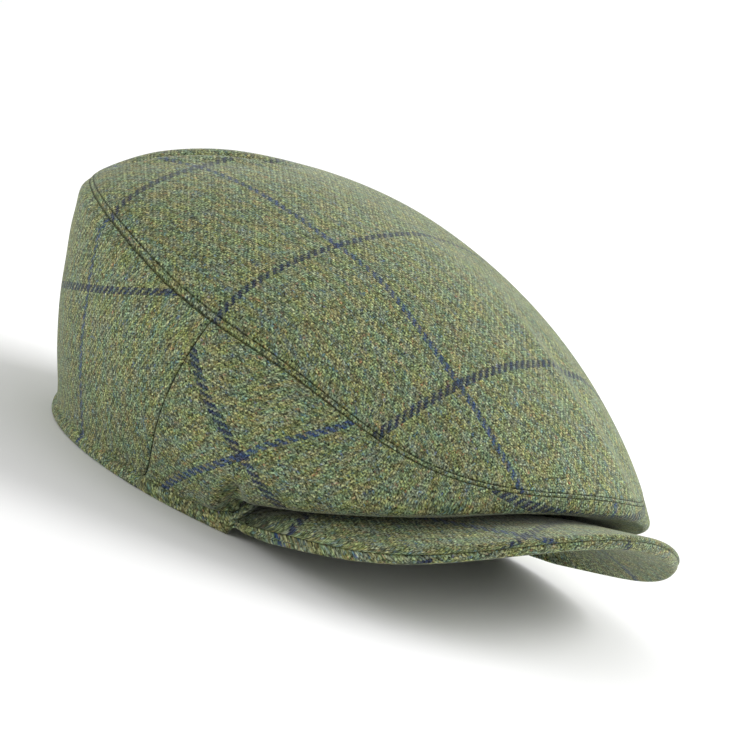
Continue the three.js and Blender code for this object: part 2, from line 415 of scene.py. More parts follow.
@dataclass
class Unrolling:
    """Lays the crown's side out flat, so that the check runs over it as over the cut cloth."""

    form: CapForm
    angles: int = 361
    stops: int = 161
    short_of_end: float = 1.001
    front_spread: float = 0.0027
    front_spread_from: float = -38.0
    front_bow: float = 0.029
    front_bow_from: float = -46.0
    front_bow_width: float = 33.0
    front_bow_most: float = 1.5
    front_slack: float = 15.0
    front_slack_fade: Pair = (36.0, 90.0)
    front_end_drop: float = 0.0045
    front_end_from: float = 118.0
    back_spread: float = 0.0008
    back_bow: float = 0.00055

    def __post_init__(self) -> None:
        """Measures the sections and lays them side by side, from the front and from the back."""
        self.angle = np.linspace(0.0, math.pi, self.angles)
        self.up = np.linspace(0.0, 1.0, self.stops)
        up, angle = np.meshgrid(self.up, self.angle)
        points = self.form.side(up, angle)
        steps = np.linalg.norm(np.diff(points, axis=1), axis=-1)
        self.arc = np.pad(np.cumsum(steps, axis=1), ((0, 0), (1, 0)))
        self.length = self.arc[:, -1]
        self.up_by_share = np.array(
            [np.interp(self.up * row[-1], row, self.up) for row in self.arc]
        )
        ring = np.linalg.norm(np.diff(points, axis=0), axis=-1)
        weight = np.gradient(self.arc, axis=1)
        weight = (weight[1:] + weight[:-1]) / 2
        middle = (ring * weight).sum(axis=1) / weight.sum(axis=1)
        turn = (ring[:, -1] - ring[:, 0]) / ((self.length[1:] + self.length[:-1]) / 2)
        self.from_front = self._laid(middle, turn)
        self.from_back = self._laid(middle[::-1], turn[::-1])[::-1]

    def _laid(self, middle: Array, turn: Array) -> Array:
        """Lays the sections side by side.

        Args:
            middle: how far each section's middle lies from the one before.
            turn: how far each section is turned against the one before.

        Returns:
            Where each section's middle lies in the flat, and how far it is turned.
        """
        lean = np.concatenate([[0.0], -np.cumsum(turn)])
        heading = (lean[1:] + lean[:-1]) / 2
        x = np.concatenate([[0.0], np.cumsum(middle * np.cos(heading))])
        y = np.concatenate([[0.0], np.cumsum(middle * np.sin(heading))])
        return np.stack([x, y, lean], axis=1)

    def _index(self, angle: Array) -> Array:
        """Returns the place of an angle among the measured sections."""
        return np.abs(turned(angle)) / math.pi * (self.angles - 1)

    def _mixed(self, table: Array, angle: Array, stop: Array) -> Array:
        """Reads a table between its rows and stops.

        Args:
            table: one row for each measured section.
            angle: the angles to read it at.
            stop: the place along each section, counted in stops.

        Returns:
            The table's value at each place.
        """
        index = np.clip(self._index(angle), 0, self.angles - self.short_of_end)
        stop = np.clip(stop, 0, table.shape[1] - self.short_of_end)
        i, k = index.astype(int), stop.astype(int)
        a, b = index - i, stop - k
        low = lerp(table[i, k], table[i, k + 1], b)
        high = lerp(table[i + 1, k], table[i + 1, k + 1], b)
        return lerp(low, high, a)

    def length_at(self, angle: Array) -> Array:
        """Returns the length of the section at each angle."""
        return np.interp(self._index(angle), np.arange(self.angles), self.length)

    def up_at(self, arc: Array, angle: Array) -> Array:
        """Returns how far up the section a length of cloth reaches, from 0 to 1."""
        share = arc / self.length_at(angle)
        return self._mixed(self.up_by_share, angle, share * (self.stops - 1))

    def _flat(self, arc: Array, angle: Array, side: Side) -> Array:
        """Lays points of the side out flat.

        Args:
            arc: the length of cloth from the foot to each point.
            angle: the angle of each point.
            side: the panel from whose middle they are laid out.

        Returns:
            A pair of flat coordinates for each point, seen from outside.
        """
        is_front = side is Side.FRONT
        table = self.from_front if is_front else self.from_back
        index = self._index(angle)
        x, y, lean = (np.interp(index, np.arange(self.angles), column) for column in table.T)
        offset = arc - self.length_at(angle) / 2
        sign = -np.sign(turned(angle)) if is_front else np.sign(turned(angle))
        x = sign * (x - np.sin(lean) * offset)
        return np.stack([x, y + np.cos(lean) * offset], axis=-1)

    def cloth(self, arc: Array, angle: Array, side: Side) -> Array:
        """Lays points of the side on the cloth, which is pulled a little out of its square.

        Args:
            arc: the length of cloth from the foot to each point.
            angle: the angle of each point.
            side: which panel's cloth it is.

        Returns:
            A pair of coordinates on the cloth for each point.
        """
        x, y = self._flat(arc, angle, side).T
        if side is Side.BACK:
            return np.stack([x * (1 - self.back_spread * y), y - self.back_bow * x**2], axis=-1)
        bow = ((y - self.front_bow_from) / self.front_bow_width) ** 2
        lean = self.front_spread * (y - self.front_spread_from)
        lean += self.front_bow * np.minimum(bow, self.front_bow_most)
        slack = self.front_slack * fade(np.abs(x), *self.front_slack_fade)
        end = self.front_end_drop * np.maximum(np.abs(x) - self.front_end_from, 0.0) ** 2
        return np.stack([x * (1 + lean), y + slack - end], axis=-1)


EDGE_STOPS = (0.0, 0.15, 0.35, 0.6, 0.9, 1.2, 1.5, 1.8, 2.1, 2.5, 3.1, 4.0, 5.2, 6.8)


def spaced(share: Array, count: int, length: Array) -> Array:
    """Spreads the lines of a grid so that they lie close together at both of its ends.

    Args:
        share: each line's place in the grid, from 0 to 1.
        count: the number of spaces between lines.
        length: the length that the grid covers, in millimetres.

    Returns:
        Each line's distance from the start.
    """
    line = share * count
    last = len(EDGE_STOPS) - 1
    places = np.arange(last + 1)
    start = np.interp(line, places, EDGE_STOPS)
    end = length - np.interp(count - line, places, EDGE_STOPS)
    reach = EDGE_STOPS[-1]
    between = (line - last) / (count - 2 * last)
    middle = reach + (length - 2 * reach) * between
    return np.where(line < last, start, np.where(line > count - last, end, middle))


class Socket:
    """A shader value that can be written in sums."""

    def __init__(self, nodes: "Shader", link: bpy.types.NodeSocket) -> None:
        """Holds the output socket of a node and the shader that it belongs to."""
        self.nodes = nodes
        self.link = link

    def _with(self, operation: str, *others: Value) -> "Socket":
        """Returns the outcome of a Math node on this value and others."""
        return self.nodes.node("ShaderNodeMath", {"operation": operation}, self, *others)

    def __add__(self, other: Value) -> "Socket":
        """Returns the sum."""
        return self._with("ADD", other)

    __radd__ = __add__

    def __mul__(self, other: Value) -> "Socket":
        """Returns the product."""
        return self._with("MULTIPLY", other)

    __rmul__ = __mul__

    def __sub__(self, other: Value) -> "Socket":
        """Returns the difference."""
        return self._with("SUBTRACT", other)

    def __rsub__(self, other: float) -> "Socket":
        """Returns a number less this value."""
        return self.nodes.node("ShaderNodeMath", {"operation": "SUBTRACT"}, other, self)

    def __truediv__(self, other: Value) -> "Socket":
        """Returns the quotient."""
        return self._with("DIVIDE", other)

    def __mod__(self, other: float) -> "Socket":
        """Returns what is left over after whole steps, also below zero."""
        return self._with("FLOORED_MODULO", other)

    def __lt__(self, other: float) -> "Socket":
        """Returns 1 where this value is less than the other, and 0 elsewhere."""
        return self._with("LESS_THAN", other)

    def floor(self) -> "Socket":
        """Returns the whole number below."""
        return self._with("FLOOR")

    def absolute(self) -> "Socket":
        """Returns the value without its sign."""
        return self._with("ABSOLUTE")

    def half_wave(self) -> "Socket":
        """Returns the half wave that rises from 0 and falls back to 0 as this goes from 0 to 1."""
        return (self * math.pi)._with("SINE")

    def smooth(self, start: float, end: float) -> "Socket":
        """Returns 0 at start, 1 at end and a smooth rise between them."""
        settings = {"interpolation_type": "SMOOTHSTEP"}
        return self.nodes.node("ShaderNodeMapRange", settings, self, start, end)


class Shader:
    """A material's nodes."""

    def __init__(self, name: str) -> None:
        """Starts an empty material with its output and its main shader.

        Args:
            name: the material's name.
        """
        self.material = bpy.data.materials.new(name)
        self.material.use_nodes = True
        self.tree = self.material.node_tree
        self.tree.nodes.clear()
        output = self.tree.nodes.new("ShaderNodeOutputMaterial")
        self.main = self.tree.nodes.new("ShaderNodeBsdfPrincipled")
        self.tree.links.new(self.main.outputs["BSDF"], output.inputs["Surface"])

    def finish(self, values: dict[str, Union[Value, tuple]]) -> None:
        """Links or sets sockets of the main shader by name."""
        for name, value in values.items():
            self.feed(self.main.inputs[name], value)

    def node(
        self,
        kind: str,
        settings: dict[str, Setting],
        *values: Union[Value, Sequence[float], None],
        out: Union[int, str] = 0,
        **named: Union[Value, Sequence[float]],
    ) -> Socket:
        """Adds a node.

        Args:
            kind: the node's type.
            settings: its settings, which are set first. The stops of a ramp are given as
                "stops", a list of places and colours.
            *values: its sockets in order. None leaves a socket as it is.
            out: the output that is wanted.
            **named: sockets by name, with an underscore for a space.

        Returns:
            The wanted output.
        """
        made = self.tree.nodes.new(kind)
        for name, value in settings.items():
            if name == "stops":
                self._ramp(made.color_ramp, value)
            else:
                setattr(made, name, value)
        sockets = [s for s in made.inputs if s.enabled]
        pairs = list(zip(sockets, values))
        pairs += [(made.inputs[name.replace("_", " ")], value) for name, value in named.items()]
        for socket, value in pairs:
            self.feed(socket, value)
        outputs = [s for s in made.outputs if s.enabled]
        return Socket(self, outputs[out] if isinstance(out, int) else made.outputs[out])

    def feed(self, socket: bpy.types.NodeSocket, value: Union[Value, tuple, None]) -> None:
        """Links or sets one input socket.

        Args:
            socket: the input.
            value: what it gets. None leaves it as it is.
        """
        if isinstance(value, Socket):
            self.tree.links.new(value.link, socket)
        elif value is not None:
            socket.default_value = value

    def _ramp(self, ramp: bpy.types.ColorRamp, stops: Sequence[tuple]) -> None:
        """Gives a colour ramp its stops.

        Args:
            ramp: the ramp of a new node.
            stops: the place and colour of each stop.
        """
        while len(ramp.elements) < len(stops):
            ramp.elements.new(0.5)
        for element, (place, colour) in zip(ramp.elements, stops):
            element.position = place
            element.color = (*colour, 1.0)

    def blend(self, factor: Value, first: object, second: object) -> Socket:
        """Returns a colour between two."""
        return self._mix("MIX", factor, first, second)

    def tinted(self, factor: Value, first: object, second: object) -> Socket:
        """Returns the first colour multiplied by the second, as far as the factor says."""
        return self._mix("MULTIPLY", factor, first, second)

    def dimmed(self, colour: Socket, share: Socket) -> Socket:
        """Returns a colour multiplied by a number."""
        return self.tinted(1.0, colour, self.vector(share, share, share))

    def _mix(self, kind: str, factor: Value, first: object, second: object) -> Socket:
        """Adds a colour Mix node.

        Args:
            kind: how it blends.
            factor: how far it goes.
            first: the first colour, three numbers or a socket.
            second: the second colour.

        Returns:
            The mixed colour.
        """
        first, second = (
            (*c, 1.0) if isinstance(c, tuple) and len(c) == 3 else c for c in (first, second)
        )
        settings = {"data_type": "RGBA", "blend_type": kind}
        return self.node("ShaderNodeMix", settings, factor, first, second)

    def vector(self, x: Value, y: Value, z: Value = 0.0) -> Socket:
        """Returns a vector made of three values."""
        return self.node("ShaderNodeCombineXYZ", {}, x, y, z)

    def part(self, vector: Socket, axis: str) -> Socket:
        """Returns one of a vector's three values."""
        return self.node("ShaderNodeSeparateXYZ", {}, vector, out=axis)

    def noise(self, place: Socket, scale: float, detail: float = 2.0) -> Socket:
        """Returns soft noise between 0 and 1."""
        sockets = {"Scale": scale, "Detail": detail, "Roughness": NOISE_ROUGHNESS}
        return self.node("ShaderNodeTexNoise", {}, Vector=place, **sockets)


def linear(red: int, green: int, blue: int) -> Colour:
    """Returns a screen colour as the light that the shaders work with."""
    parts = (part / 255 for part in (red, green, blue))
    return tuple(p / 12.92 if p < 0.04045 else ((p + 0.055) / 1.055) ** 2.4 for p in parts)


class Stitch(Enum):
    """What is sewn beside a panel's seam."""

    NONE = "none"
    TOPSTITCH = "topstitch"


TOPSTITCH_OFFSET = 1.45


@dataclass(frozen=True)
class Patches:
    """Soft patches of two dyes, longer along the cloth than across it."""

    across: float
    along: float
    layer: float
    ends: Pair
    first: Colour
    second: Colour

    def over(self, shader: Shader, u: Socket, v: Socket) -> Socket:
        """Returns the patches' colour at each place of the cloth."""
        share = shader.noise(shader.vector(u * self.across, v * self.along, self.layer), 1.0)
        return shader.blend(share.smooth(*self.ends), self.first, self.second)


@dataclass(frozen=True)
class Tweed:
    """A heathered wool twill with a windowpane check, in millimetres on the flat cloth."""

    name: str
    length_stripe: float
    cross_stripe: float
    stitch: Stitch = Stitch.NONE
    # True where the cloth gets painted shade in the crease over the peak.
    is_creased: bool = False
    seam_tint: Colour = linear(165, 165, 150)
    seam_ends: Pair = (0.05, 0.3)
    yarn: float = 0.83
    wobble: float = 0.55
    wobble_scale: float = 0.9
    length_repeat: float = 120.0
    length_width: float = 2.6
    cross_repeat: float = 67.6
    cross_width: float = 3.1
    faint_offset: float = 48.0
    faint_reach: float = 0.8
    faint_share: float = 0.4
    stripe_share: float = 0.8
    show_through: float = 0.3
    blue_show_through: float = 0.15
    dimmest: float = 0.3
    brightest: float = 1.68
    heather: float = 0.6
    heather_ends: Pair = (0.4, 0.72)
    hue_run: Pair = (0.8, 0.4)
    share_run: Pair = (0.7, 0.45)
    share_layer: float = 5.0
    warp_layer: float = 3.0
    weft_layer: float = 8.0
    hair: float = 4.0
    hair_scale: float = 1.7
    hollow_shade: float = 0.64
    lift_shade: float = 0.5
    cloud_dark: float = 0.88
    cloud_range: float = 0.24
    cloud_scale: float = 0.35
    stitch_length: float = 3.2
    stitch_ends: Pair = (0.12, 0.38)
    stitch_gap: float = 0.3
    stitch_pull: float = 0.6
    bump: float = 0.55
    bump_height: float = 0.25
    roughness: float = 0.92
    gloss: float = 0.15
    sheen: float = 0.4
    sheen_roughness: float = 0.3
    light: Colour = linear(139, 145, 111)
    dark: Colour = linear(118, 127, 100)
    navy: Colour = linear(36, 44, 80)
    blue: Colour = linear(42, 66, 116)
    faint: Colour = linear(84, 118, 128)
    thread: Colour = linear(98, 100, 80)
    nap: Colour = linear(226, 230, 214)
    # Painted shade: the colour that the cloth is multiplied by in the crease over the peak.
    crease_tint: Colour = (0.34, 0.34, 0.32)
    patches: tuple[Patches, ...] = (
        Patches(0.36, 0.13, 7.0, (0.38, 0.62), linear(243, 253, 243), linear(255, 245, 251)),
        Patches(0.26, 0.11, 0.0, (0.36, 0.64), linear(230, 245, 255), linear(255, 250, 224)),
    )
    fibres: tuple[tuple[float, Colour], ...] = (
        (0.30, linear(112, 108, 160)),
        (0.38, linear(84, 138, 148)),
        (0.46, linear(128, 132, 112)),
        (0.54, linear(146, 150, 60)),
        (0.61, linear(132, 132, 112)),
        (0.68, linear(178, 116, 92)),
    )

    def made(self) -> bpy.types.Material:
        """Builds the material.

        Returns:
            The finished material.
        """
        shader = Shader(self.name)
        flat = shader.node("ShaderNodeUVMap", {"uv_map": "cloth"})
        place = shader.node("ShaderNodeVectorMath", {"operation": "SCALE"}, flat, PER_METRE)
        place = self._fuzzed(shader, place)
        u, v = shader.part(place, "X"), shader.part(place, "Y")
        colour, lift = self._woven(shader, u, v)
        for patches in self.patches:
            colour = shader.tinted(1.0, colour, patches.over(shader, u, v))
        cloud = shader.noise(place, self.cloud_scale, 3.0)
        colour = shader.dimmed(colour, self.cloud_dark + self.cloud_range * cloud)
        hair = shader.noise(place, self.hair_scale, 1.0)
        colour = shader.dimmed(colour, 1.0 + self.hair * (hair - 0.5))
        colour = shader.dimmed(colour, self.hollow_shade + self.lift_shade * lift)
        colour, lift = self._sewn(shader, colour, lift)
        bump = shader.node(
            "ShaderNodeBump",
            {},
            Strength=self.bump,
            Distance=self.bump_height * MM,
            Height=lift,
            out="Normal",
        )
        shader.finish(
            {
                "Base Color": colour,
                "Normal": bump,
                "Roughness": self.roughness,
                "Specular IOR Level": self.gloss,
                "Sheen Weight": self.sheen,
                "Sheen Roughness": self.sheen_roughness,
                "Sheen Tint": (*self.nap, 1.0),
            }
        )
        return shader.material

    def _fuzzed(self, shader: Shader, place: Socket) -> Socket:
        """Makes the cloth's coordinates a little unsteady, as wool is.

        Args:
            shader: the material.
            place: the place on the flat cloth.

        Returns:
            The unsteady place.
        """
        sockets = {"Vector": place, "Scale": self.wobble_scale, "Detail": 2.0}
        noise = shader.node("ShaderNodeTexNoise", {}, out="Color", **sockets)
        centred = shader.node(
            "ShaderNodeVectorMath", {"operation": "SUBTRACT"}, noise, (0.5, 0.5, 0.5)
        )
        small = shader.node("ShaderNodeVectorMath", {"operation": "SCALE"}, centred, self.wobble)
        return shader.node("ShaderNodeVectorMath", {"operation": "ADD"}, place, small)

    def _woven(self, shader: Shader, u: Socket, v: Socket) -> tuple[Socket, Socket]:
        """Weaves the two systems of yarns in a 2/2 twill.

        Each yarn passes over two of the others and under two, and each yarn starts one later
        than the one before, so a step from 0 to 4 tells which yarn is on top at a crossing.

        Args:
            shader: the material.
            u: the place across the warp.
            v: the place along it.

        Returns:
            The yarns' colour and the height of the weave.
        """
        across, along = u / self.yarn, v / self.yarn
        warp, weft = across.floor(), along.floor()
        in_warp, in_weft = across - warp, along - weft
        step = (warp - weft) % 4.0
        warp_over = step < 2.0
        warp_float = in_warp.half_wave() * ((1.0 - step + in_weft) * 0.5).half_wave()
        weft_float = in_weft.half_wave() * ((step - 2.0 + in_warp) * 0.5).half_wave()
        lift = weft_float * (1.0 - warp_over) + warp_float * warp_over
        warp_yarn = self._yarn(shader, warp, weft, self.light)
        weft_yarn = self._yarn(shader, weft + 0.5, warp, self.dark)
        warp_yarn = self._heathered(shader, warp_yarn, u, v, self.warp_layer)
        weft_yarn = self._heathered(shader, weft_yarn, v, u, self.weft_layer)
        warp_yarn, on_length = self._striped(shader, warp_yarn, warp, self.length_stripe, True)
        weft_yarn, on_cross = self._striped(shader, weft_yarn, weft, self.cross_stripe, False)
        warp_yarn = shader.blend(on_cross * self.show_through, warp_yarn, self.navy)
        weft_yarn = shader.blend(on_length * self.blue_show_through, weft_yarn, self.blue)
        return shader.blend(warp_over, weft_yarn, warp_yarn), lift

    def _yarn(self, shader: Shader, yarn: Socket, run: Socket, base: Colour) -> Socket:
        """Returns one system of yarns, a little lighter or darker at each crossing.

        Args:
            shader: the material.
            yarn: the number of each yarn.
            run: the number of each crossing along it.
            base: the yarn's main colour.

        Returns:
            The yarns' colour.
        """
        chance = shader.node(
            "ShaderNodeTexWhiteNoise", {"noise_dimensions": "2D"}, shader.vector(yarn, run)
        )
        dim = tuple(part * self.dimmest for part in base)
        bright = tuple(min(part * self.brightest, 1.0) for part in base)
        return shader.blend(chance, dim, bright)

    def _heathered(
        self, shader: Shader, yarn: Socket, across: Socket, along: Socket, layer: float
    ) -> Socket:
        """Returns yarns with fibres of other colours spun into them in short runs.

        Args:
            shader: the material.
            yarn: the colour of the plain yarns.
            across: the place across the yarns.
            along: the place along them.
            layer: a number that sets this system of yarns apart.

        Returns:
            The yarns' colour.
        """
        (a, b), (c, d) = self.hue_run, self.share_run
        hue = shader.noise(shader.vector(across * a, along * b, layer), 1.0, 1.0)
        dyed = shader.node("ShaderNodeValToRGB", {"stops": self.fibres}, hue)
        spot = shader.vector(across * c, along * d, layer + self.share_layer)
        share = shader.noise(spot, 1.0, 1.0)
        return shader.blend(share.smooth(*self.heather_ends) * self.heather, yarn, dyed)

    def _striped(
        self, shader: Shader, yarn: Socket, index: Socket, start: float, is_warp: bool
    ) -> tuple[Socket, Socket]:
        """Dyes the yarns of the windowpane check.

        Args:
            shader: the material.
            yarn: the colour of the plain yarns.
            index: the number of each yarn.
            start: where a stripe lies on the flat cloth.
            is_warp: True for the lengthwise yarns.

        Returns:
            The yarns' colour, and 1 on a stripe and 0 off it.
        """
        repeat = self.length_repeat if is_warp else self.cross_repeat
        width = self.length_width if is_warp else self.cross_width
        place = (index + 0.5) * self.yarn - (start - repeat / 2)
        off = (place % repeat - repeat / 2).absolute()
        inside = off < width / 2
        colour = self.blue if is_warp else self.navy
        striped = shader.blend(inside * self.stripe_share, yarn, colour)
        if is_warp:
            beside = (off - self.faint_offset).absolute() < self.faint_reach
            striped = shader.blend(beside * self.faint_share, striped, self.faint)
        return striped, inside

    def _sewn(self, shader: Shader, colour: Socket, lift: Socket) -> tuple[Socket, Socket]:
        """Darkens the cloth at its seams, paints shade into the crease over the peak, and draws
        the stitches beside them.

        Args:
            shader: the material.
            colour: the cloth's colour.
            lift: the height of its weave.

        Returns:
            The colour and the height with the sewing.
        """
        edge = shader.node("ShaderNodeUVMap", {"uv_map": "edge"})
        run = shader.part(edge, "X") * PER_METRE
        distance = shader.part(edge, "Y") * PER_METRE
        seam = 1.0 - distance.smooth(*self.seam_ends)
        colour = shader.tinted(seam, colour, self.seam_tint)
        if self.stitch is Stitch.TOPSTITCH:
            off = (distance - TOPSTITCH_OFFSET).absolute()
            groove = 1.0 - off.smooth(*self.stitch_ends)
            stitch = (run / self.stitch_length) % 1.0
            hole = groove * (1.0 - self.stitch_gap * stitch.half_wave())
            colour = shader.tinted(hole, colour, self.thread)
            lift = lift - groove * self.stitch_pull
        # Painted shade: the cloth's colour is darkened towards the crease where the front panel
        # overhangs the peak.
        if self.is_creased:
            crease = shader.node("ShaderNodeAttribute", {"attribute_name": "crease"}, out="Fac")
            colour = shader.tinted(crease, colour, self.crease_tint)
        return colour, lift


@dataclass
class Sheet:
    """One piece of cloth of the finished cap."""

    node: str
    thickness: float
    finish: Tweed
    flat_size: Pair
    flat_area: float
    smooth_angle: float = math.radians(60.0)

    def start(self, columns: int, rows: int) -> tuple[bpy.types.Object, Array, Array]:
        """Lays down a flat grid.

        Args:
            columns: how many faces it has one way.
            rows: how many it has the other way.

        Returns:
            The grid, and where each of its corners lies both ways, from 0 to 1.
        """
        bpy.ops.object.select_all(action="DESELECT")
        bpy.ops.mesh.primitive_grid_add(x_subdivisions=columns, y_subdivisions=rows, size=2.0)
        grid = bpy.context.object
        grid.name = grid.data.name = f"{self.node}_cloth"
        co = np.zeros(len(grid.data.vertices) * 3)
        grid.data.vertices.foreach_get("co", co)
        co = (co.reshape(-1, 3) + 1.0) / 2
        return grid, co[:, 0], co[:, 1]

    def shape(
        self,
        grid: bpy.types.Object,
        points: Array,
        cloth: Array,
        edge: Array,
        outward: Array,
        crease: Union[Array, None] = None,
    ) -> None:
        """Moves the grid's corners into place and lays the cloth's coordinates over it.

        Args:
            grid: the flat grid.
            points: each corner's place, in metres.
            cloth: each corner's place on the flat cloth, in millimetres.
            edge: each corner's place along the nearest seam and distance from it.
            outward: a direction for each corner that points out of the cap.
            crease: how much painted shade each corner gets in the crease over the peak, from 0 to
                1.
        """
        mesh = grid.data
        mesh.vertices.foreach_set("co", points.astype(np.float32).ravel())
        corners = np.zeros(len(mesh.loops), np.int32)
        mesh.loops.foreach_get("vertex_index", corners)
        while mesh.uv_layers:
            mesh.uv_layers.remove(mesh.uv_layers[0])
        for name, values in (("cloth", cloth), ("edge", edge)):
            layer = mesh.uv_layers.new(name=name)
            layer.data.foreach_set("uv", (values[corners] * MM).astype(np.float32).ravel())
        # Stores the painted shade mask for the crease over the peak.
        if crease is not None:
            depth = mesh.attributes.new(name="crease", type="FLOAT", domain="POINT")
            depth.data.foreach_set("value", crease.astype(np.float32))
        mesh.update()
        normals = np.zeros(len(mesh.vertices) * 3)
        mesh.vertices.foreach_get("normal", normals)
        if (normals.reshape(-1, 3) * outward).sum() < 0:
            bpy.ops.object.mode_set(mode="EDIT")
            bpy.ops.mesh.select_all(action="SELECT")
            bpy.ops.mesh.flip_normals()
            bpy.ops.object.mode_set(mode="OBJECT")

    def finish_off(self, grid: bpy.types.Object, wall: Array) -> None:
        """Gives the sheet its thickness, its finish and its place in the frame.

        Args:
            grid: the shaped sheet.
            wall: how much of the thickness each corner keeps.
        """
        group = grid.vertex_groups.new(name="wall")
        levels = np.round(wall, 2)
        for level in np.unique(levels):
            group.add(np.flatnonzero(levels == level).tolist(), float(level), "REPLACE")
        solid = grid.modifiers.new("wall", "SOLIDIFY")
        solid.thickness = self.thickness * MM
        solid.offset = -1.0
        solid.use_quality_normals = True
        solid.vertex_group = group.name
        bpy.ops.object.modifier_apply(modifier=solid.name)
        bpy.ops.object.shade_smooth_by_angle(angle=self.smooth_angle)
        grid.data.materials.append(self.finish.made())
        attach(grid, "root")
        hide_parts(self.node)
        width, length = self.flat_size
        width * MM
        length * MM
        self.flat_area * MM * MM
        log.info("%s: %d faces", grid.name, len(grid.data.polygons))


@dataclass(frozen=True)
class TopRelief:
    """How the top stands off its block: a fold at the back and a crest in front."""

    fold_turn: float = math.radians(-37.4)
    fold_middle: Pair = (-62.0, 66.0)
    fold_window: Window = (-14.0, 8.0, 26.0, 64.0)
    fold: tuple[Swell, ...] = (Swell(1.8, -0.5, 4.6), Swell(-4.4, 9.0, 6.5), Swell(1.6, 20.0, 7.0))
    crest: tuple[Swell, ...] = (Swell(0.9, 0.0, 5.0), Swell(-1.1, 12.0, 7.5))
    crest_x: float = 13.0
    crest_drift: float = 9.0
    crest_drifts: Pair = (84.0, 118.0)
    crest_starts: Pair = (42.0, 72.0)

    def off(self, x: Array, y: Array) -> Array:
        """Finds how far the top's cloth stands off its block.

        Args:
            x: the points' places to the wearer's left in the plan.
            y: their places towards the back.

        Returns:
            The distance upwards.
        """
        c, s = math.cos(self.fold_turn), math.sin(self.fold_turn)
        right, back = x - self.fold_middle[0], y - self.fold_middle[1]
        along, across = right * c + back * s, back * c - right * s
        fold = window(along, *self.fold_window) * swollen(self.fold, across)
        middle = self.crest_x + self.crest_drift * smoothstep(-y, *self.crest_drifts)
        crest = smoothstep(-y, *self.crest_starts) * swollen(self.crest, x - middle)
        return fold + crest


@dataclass(frozen=True)
class SideRelief:
    """How the side stands off its block: slack, a pucker at each temple and the bellies."""

    ripples: tuple[Ripple, ...] = (Ripple(0.3, 3.0, 0.7, 1.0), Ripple(0.2, 7.0, 2.1, 2.0))
    pucker_turn: float = math.radians(58.9)
    pucker_reach: float = 92.0
    pucker_window: Window = (-0.06, 0.14, 0.34, 0.6)
    pucker: tuple[Swell, ...] = (Swell(-3.6, 0.0, 3.6), Swell(-2.0, 0.0, 1.8))
    beside: Swell = Swell(1.2, 7.0, 4.0)
    beside_up: Swell = Swell(1.0, 0.2, 0.2)
    belly: tuple[Swell, ...] = (Swell(0.8, 0.42, 0.22), Swell(2.6, 0.73, 0.15))
    belly_window: Window = (0.2, 0.6, math.radians(55.0), math.radians(58.0))
    cheek: Swell = Swell(1.3, 0.4, 0.16)
    cheek_up: Swell = Swell(1.0, 0.33, 0.14)
    nose: Swell = Swell(-0.6, 0.5, 0.3)
    nose_fade: Pair = (0.25, 0.65)
    back_starts: Pair = (math.radians(92.0), math.radians(118.0))
    shoulder: Swell = Swell(1.1, 0.95, 0.05)
    shoulder_end: float = 0.05
    back: tuple[Swell, ...] = (Swell(-0.9, 0.7, 0.13), Swell(0.9, 0.3, 0.2))

    def off(self, up: Array, angle: Array) -> Array:
        """Finds how far a side panel's cloth stands off its block.

        Args:
            up: the way up the section, from 0 to 1.
            angle: the angle of each point.

        Returns:
            The distance outwards.
        """
        turn = np.abs(turned(angle))
        slack = sum(ripple.at(up, angle) for ripple in self.ripples)
        from_pucker = (turn - self.pucker_turn) * self.pucker_reach
        pucker = swollen(self.pucker, from_pucker) * window(up, *self.pucker_window)
        beside = self.beside.at(from_pucker) * self.beside_up.at(up)
        belly = swollen(self.belly, up) * window(turn, *self.belly_window)
        belly += self.cheek.at(turn) * self.cheek_up.at(up)
        nose = self.nose.at(up) * fade(turn, *self.nose_fade)
        shoulder = self.shoulder.at(up) * smoothstep(1 - up, 0.0, self.shoulder_end)
        back = smoothstep(turn, *self.back_starts) * (shoulder + swollen(self.back, up))
        return slack + pucker + belly + beside + nose + back


@dataclass(frozen=True)
class SidePanel:
    """What sets one of the two side panels apart from the other."""

    side: Side
    columns: int
    stripes: Pair
    flat_size: Pair
    flat_area: float
    rests_on: tuple[str, ...]


FRONT_PANEL = SidePanel(
    side=Side.FRONT,
    columns=320,
    stripes=(-109.5, -40.5),
    flat_size=(318.0, 112.0),
    flat_area=15500.0,
    rests_on=("peak_top", "rim_hem"),
)
BACK_PANEL = SidePanel(
    side=Side.BACK,
    columns=340,
    stripes=(123.3, -7.1),
    flat_size=(378.0, 128.0),
    flat_area=27500.0,
    rests_on=("rim_hem",),
)


